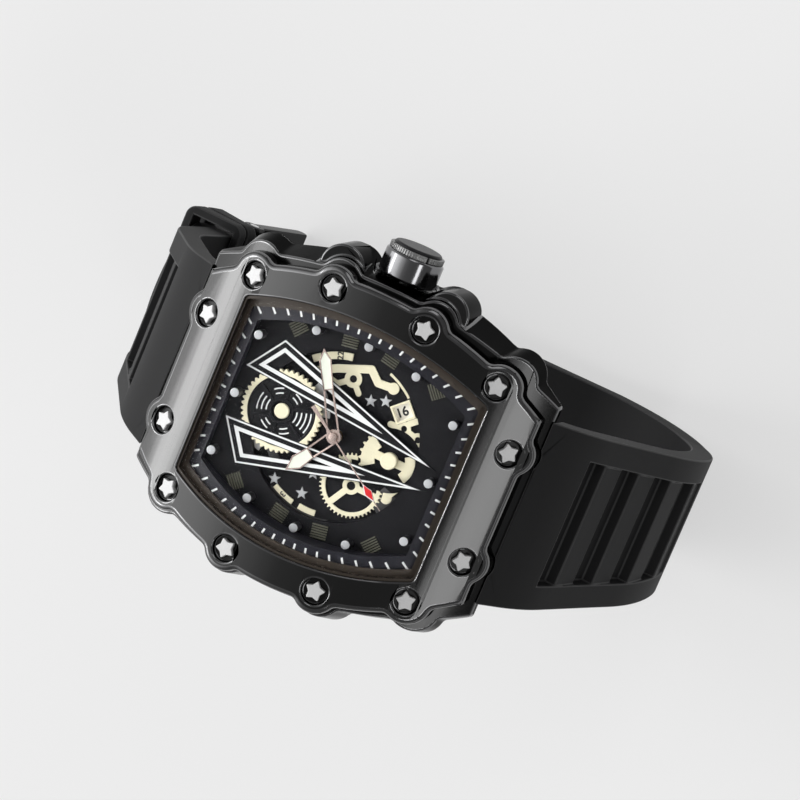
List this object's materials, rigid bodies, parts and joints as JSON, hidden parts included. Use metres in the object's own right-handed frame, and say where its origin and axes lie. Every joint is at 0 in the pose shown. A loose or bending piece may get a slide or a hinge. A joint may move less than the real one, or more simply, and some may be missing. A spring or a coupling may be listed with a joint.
{
  "type": "tonneau wristwatch",
  "caption": "Barrel-shaped quartz wristwatch with screwed bezel, skeleton-style dial, date and a louvred rubber strap closed by a pin buckle; stands dial up on its strap.",
  "frame": {"origin": "On the dial's axis, on the surface the closed strap stands on.", "axes": "+Z out of the dial, +Y to 12 o'clock, +X to 3 o'clock and the crown."},
  "size_m": [0.0516, 0.0854, 0.073],
  "materials": {
    "dark_steel": "polished black-plated steel",
    "bright_steel": "polished steel",
    "crystal": "clear mineral crystal",
    "brown_gasket": "dark brown sealing ring",
    "black_rubber": "moulded matt rubber",
    "dark_dial": "satin black lacquer",
    "grey_plots": "fine-grained grey metal",
    "pale_print": "pale luminous filling",
    "cream_metal": "brushed cream metal",
    "rose_metal": "polished rose metal",
    "wheel_brass": "turned brass",
    "white_plastic": "moulded plastic",
    "copper_wire": "enamelled copper wire",
    "green_board": "printed circuit board"
  },
  "bodies": {
    "case": {"case_middle": "dark_steel", "bezel": "dark_steel", "bezel_screws": "bright_steel", "crystal": "crystal", "crystal_ring": "brown_gasket", "flange": "dark_dial", "case_back": "dark_steel", "case_back_gasket": "black_rubber", "case_back_screws": "bright_steel", "strap_screws": "bright_steel", "crown_tube": "bright_steel", "dial_plate": "dark_dial", "dial_base": "dark_dial", "hour_plots": "grey_plots", "arrow_plates": "dark_dial", "arrow_lines": "pale_print", "barrel_ring": "cream_metal", "barrel_cover": "dark_dial", "dial_hubs": "cream_metal", "small_dial_wheel": "cream_metal", "large_dial_wheel": "cream_metal", "skeleton_bridges": "cream_metal", "dial_stars": "grey_plots", "date_window": "cream_metal", "main_plate": "wheel_brass", "train_bridge": "bright_steel", "battery": "bright_steel", "battery_clip": "bright_steel", "coil": "copper_wire", "stator": "bright_steel", "circuit_board": "green_board", "movement_holder": "white_plastic", "long_strap": "black_rubber", "short_strap": "black_rubber", "fixed_keeper": "black_rubber"},
    "minute_work": {"minute_hand": "rose_metal", "minute_hand_lume": "pale_print", "cannon_pinion": "bright_steel"},
    "hour_work": {"hour_hand": "rose_metal", "hour_hand_lume": "pale_print", "hour_wheel": "wheel_brass"},
    "minute_wheel": {"minute_wheel": "wheel_brass"},
    "date_driver": {"date_driving_wheel": "white_plastic"},
    "date_disc": {"date_disc": "pale_print"},
    "seconds_work": {"second_hand": "rose_metal", "seconds_wheel": "wheel_brass"},
    "third_wheel": {"third_wheel": "wheel_brass"},
    "centre_wheel": {"centre_wheel": "wheel_brass"},
    "middle_wheel": {"middle_wheel": "white_plastic"},
    "rotor": {"rotor": "bright_steel"},
    "setting": {"setting_pinion": "bright_steel"},
    "crown": {"crown": "dark_steel", "crown_grip_ring": "bright_steel", "crown_cap": "black_rubber", "crown_seal": "black_rubber", "winding_stem": "bright_steel"},
    "buckle": {"buckle_frame": "dark_steel", "buckle_pin": "bright_steel"},
    "tongue": {"buckle_tongue": "dark_steel"},
    "sliding_keeper": {"sliding_keeper": "black_rubber"}
  },
  "joints": [
    {"name": "minute_hand_turn", "type": "hinge", "parent": "case", "child": "minute_work", "pos_m": [0, 0, 0.0648], "axis": [0, 0, 1], "continuous": true},
    {"name": "hour_hand_turn", "type": "hinge", "parent": "case", "child": "hour_work", "pos_m": [0, 0, 0.0652], "axis": [0, 0, 1], "continuous": true},
    {"name": "minute_wheel_turn", "type": "hinge", "parent": "case", "child": "minute_wheel", "pos_m": [0.00326, 0, 0.0648], "axis": [0, 0, 1], "continuous": true},
    {"name": "date_driver_turn", "type": "hinge", "parent": "case", "child": "date_driver", "pos_m": [-0.00284, 0.00405, 0.0652], "axis": [0, 0, 1], "continuous": true},
    {"name": "date_disc_turn", "type": "hinge", "parent": "case", "child": "date_disc", "pos_m": [0, 0, 0.06521], "axis": [0, 0, 1], "continuous": true},
    {"name": "second_hand_turn", "type": "hinge", "parent": "case", "child": "seconds_work", "pos_m": [0, 0, 0.0624], "axis": [0, 0, 1], "continuous": true},
    {"name": "third_wheel_turn", "type": "hinge", "parent": "case", "child": "third_wheel", "pos_m": [-0.00344, -0.00125, 0.0628], "axis": [0, 0, 1], "continuous": true},
    {"name": "centre_wheel_turn", "type": "hinge", "parent": "case", "child": "centre_wheel", "pos_m": [0, 0, 0.06315], "axis": [0, 0, 1], "continuous": true},
    {"name": "middle_wheel_turn", "type": "hinge", "parent": "case", "child": "middle_wheel", "pos_m": [-0.00061, 0.00349, 0.062], "axis": [0, 0, 1], "continuous": true},
    {"name": "rotor_turn", "type": "hinge", "parent": "case", "child": "rotor", "pos_m": [-0.00309, 0.00492, 0.0623], "axis": [0, 0, 1], "continuous": true},
    {"name": "crown_turn", "type": "hinge", "parent": "case", "child": "setting", "pos_m": [0.0064, 0, 0.064], "axis": [1, 0, 0], "continuous": true},
    {"name": "crown_pull", "type": "slide", "parent": "setting", "child": "crown", "axis": [1, 0, 0], "range_m": [0, 0.0016]},
    {"name": "buckle_swing", "type": "hinge", "parent": "case", "child": "buckle", "pos_m": [0, 0.03531, 0.01336], "axis": [1, 0, 0], "range_deg": [0, 6]},
    {"name": "tongue_swing", "type": "hinge", "parent": "buckle", "child": "tongue", "pos_m": [0, 0.03531, 0.01336], "axis": [1, 0, 0], "range_deg": [0, 6]},
    {"name": "keeper_slide", "type": "hinge", "parent": "case", "child": "sliding_keeper", "pos_m": [0, 0.0201, 0.0225], "axis": [1, 0, 0], "range_deg": [-2.2, 5.2]}
  ],
  "couplings": [
    {"joint": "hour_hand_turn", "follows": "minute_hand_turn", "ratio": 0.083333},
    {"joint": "minute_wheel_turn", "follows": "minute_hand_turn", "ratio": -0.33333},
    {"joint": "date_driver_turn", "follows": "minute_hand_turn", "ratio": -0.041667},
    {"joint": "third_wheel_turn", "follows": "second_hand_turn", "ratio": -0.13333},
    {"joint": "centre_wheel_turn", "follows": "second_hand_turn", "ratio": 0.016667},
    {"joint": "middle_wheel_turn", "follows": "second_hand_turn", "ratio": -5},
    {"joint": "rotor_turn", "follows": "second_hand_turn", "ratio": 30}
  ]
}
